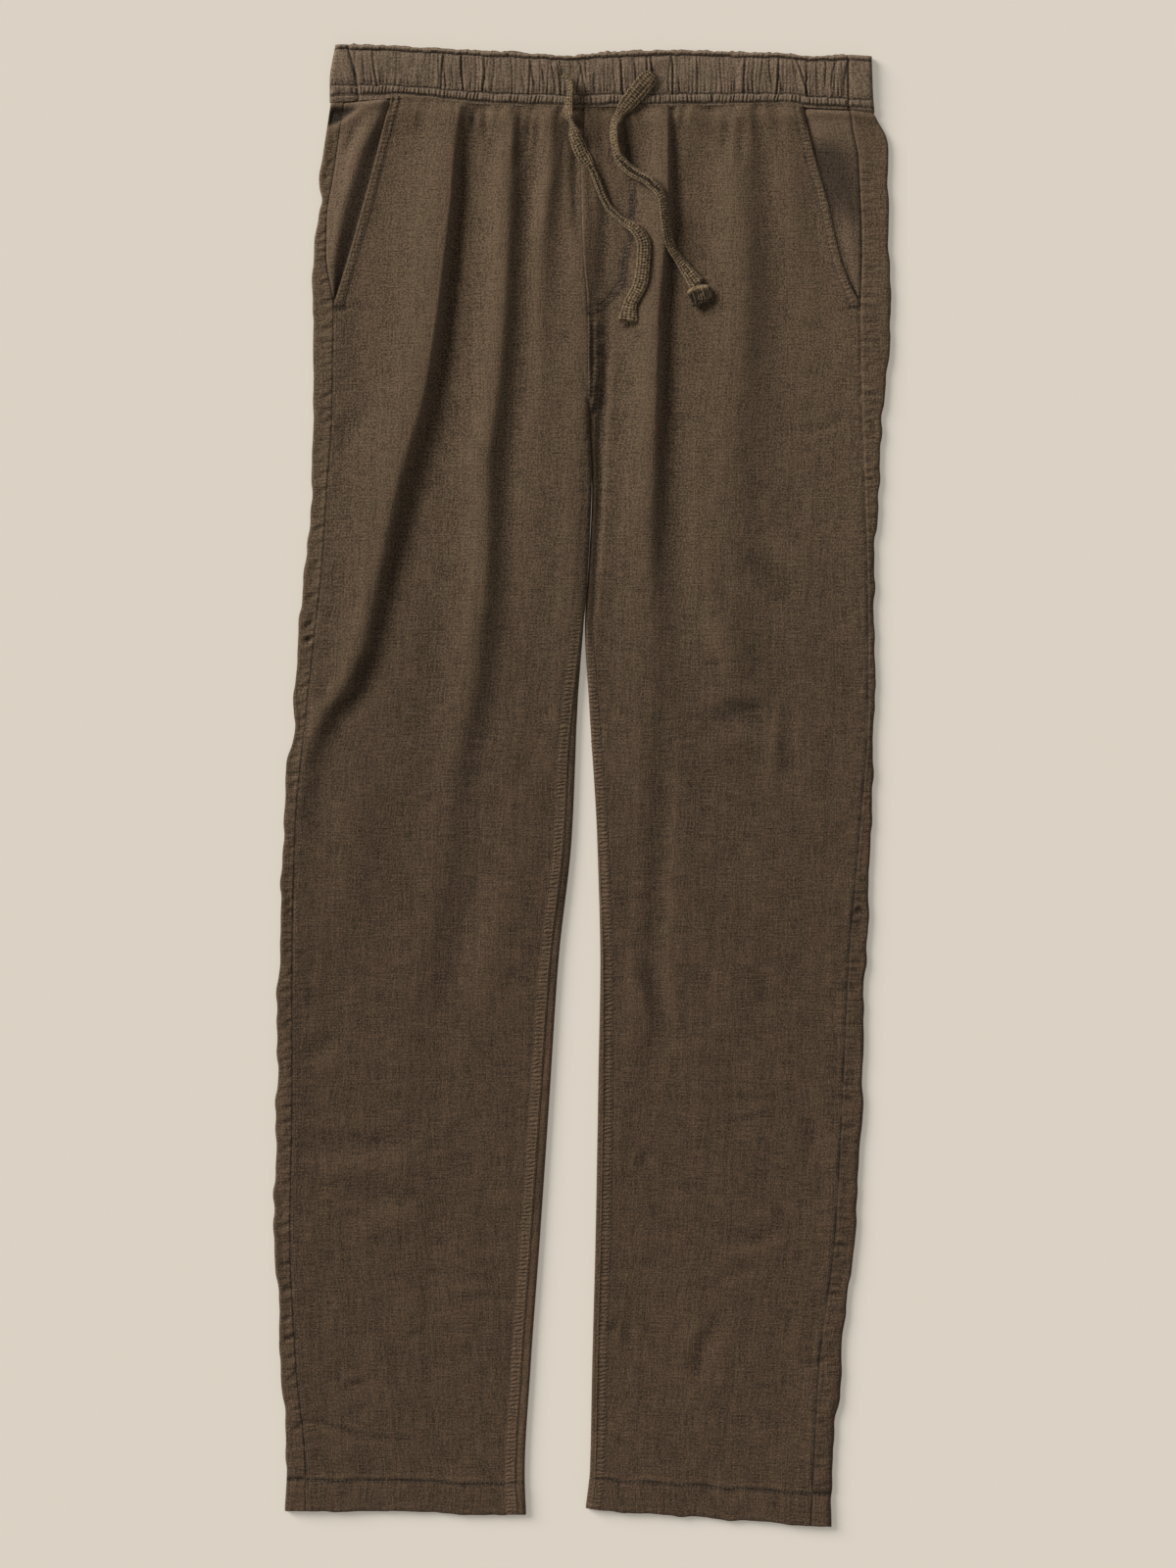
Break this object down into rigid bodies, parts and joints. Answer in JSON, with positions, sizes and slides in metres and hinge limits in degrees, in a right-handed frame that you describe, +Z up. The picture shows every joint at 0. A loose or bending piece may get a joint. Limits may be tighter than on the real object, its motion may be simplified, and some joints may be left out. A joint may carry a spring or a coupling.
{
  "type": "drawstring trousers",
  "caption": "Linen trousers laid flat on their back: gathered elastic waistband, flat drawstring ends, slanted front pockets, mock fly stitching and straight tapered legs.",
  "frame": {"origin": "middle of the footprint on the surface that the trousers lie on, measured without the drawstring", "axes": "+X towards the wearer's left leg, +Y along the legs towards the waistband, +Z up out of the front"},
  "size_m": [0.436, 1.05, 0.0167],
  "materials": {
    "linen": "garment-washed plain-weave linen, slubby and matt",
    "drawstring": "flat knitted cotton tape, matt",
    "thread": "matt sewing thread, a little lighter than the cloth"
  },
  "bodies": {
    "root": {"waistband_front": "linen", "waistband_back": "linen", "right_front": "linen", "left_front": "linen", "right_back": "linen", "left_back": "linen", "right_pocket_facing": "linen", "left_pocket_facing": "linen", "drawstring_right": "drawstring", "drawstring_left": "drawstring", "drawstring_knot": "drawstring"}
  },
  "joints": []
}
